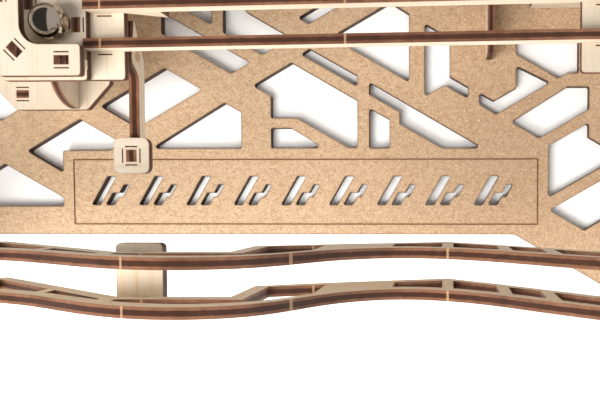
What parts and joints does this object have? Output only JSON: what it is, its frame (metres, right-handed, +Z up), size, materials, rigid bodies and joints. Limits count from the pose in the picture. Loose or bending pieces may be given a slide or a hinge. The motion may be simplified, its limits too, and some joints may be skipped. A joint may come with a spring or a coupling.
{
  "type": "marble run",
  "caption": "Laser-cut plywood marble run on a pierced base board, with wavy and straight rail tracks, corner trays, a catch pen and a release lever.",
  "frame": {"origin": "underside of the base board, at the middle of its outline", "axes": "+Z up, +X to the right, +Y to the back"},
  "size_m": [0.3, 0.18, 0.1252],
  "materials": {
    "fibreboard": "bare fibreboard, burnt cut edges",
    "plywood": "bare plywood, burnt cut edges",
    "dowel": "bare hardwood",
    "steel": "polished"
  },
  "bodies": {
    "frame": {"back_guard": "plywood", "back_guard_posts": "plywood", "back_rail_a": "plywood", "back_rail_b": "plywood", "back_tower_leaf_x": "plywood", "back_tower_leaf_y": "plywood", "back_tray": "plywood", "back_web": "plywood", "base_board": "fibreboard", "bearing_left": "plywood", "bearing_right": "plywood", "coaster_rail_back": "plywood", "coaster_rail_front": "plywood", "crest_saddle": "plywood", "deck_guard": "plywood", "deck_guard_posts": "plywood", "deck_leg_back": "plywood", "deck_leg_front": "plywood", "deck_leg_side": "plywood", "deck_web": "plywood", "left_guard": "plywood", "left_guard_posts": "plywood", "left_rail_a": "plywood", "left_rail_b": "plywood", "left_tower_leaf_x": "plywood", "left_tower_leaf_y": "plywood", "left_tray": "plywood", "lower_deck": "plywood", "lower_rail_a": "plywood", "lower_rail_b": "plywood", "mid_saddle": "plywood", "mid_tower_leaf_x": "plywood", "mid_tower_leaf_y": "plywood", "middle_rail_back": "plywood", "middle_rail_front": "plywood", "pen_end_wall": "plywood", "pen_side_walls": "plywood", "start_guard": "plywood", "start_guard_posts": "plywood", "start_tower_leaf_x": "plywood", "start_tower_leaf_y": "plywood", "start_tray": "plywood", "station_guard": "plywood", "station_guard_posts": "plywood", "station_saddle": "plywood", "station_tray": "plywood", "track_rib": "plywood", "turn_guard": "plywood", "turn_guard_posts": "plywood", "turn_saddle": "plywood", "turn_tower_leaf_x": "plywood", "turn_tower_leaf_y": "plywood", "turn_tray": "plywood"},
    "lever": {"release_lever": "plywood", "lever_pad": "plywood", "lever_pin": "dowel", "lift_arm": "plywood", "lever_weight": "steel"},
    "waiting_marble": {"waiting_marble": "steel"},
    "pen_marble": {"pen_marble": "steel"}
  },
  "joints": [
    {"name": "lever_press", "type": "hinge", "parent": "frame", "child": "lever", "pos_m": [-0.0399, -0.009, 0.0523], "axis": [1, 0, 0], "range_deg": [0, 8]},
    {"name": "marble_lift", "type": "slide", "parent": "frame", "child": "waiting_marble", "axis": [0, 0, 1], "range_m": [0, 0.00101]},
    {"name": "pen_roll", "type": "slide", "parent": "frame", "child": "pen_marble", "axis": [-1, 0, 0], "range_m": [0, 0.012]}
  ],
  "couplings": [
    {"joint": "marble_lift", "follows": "lever_press", "m_per_rad": 0.0072}
  ]
}
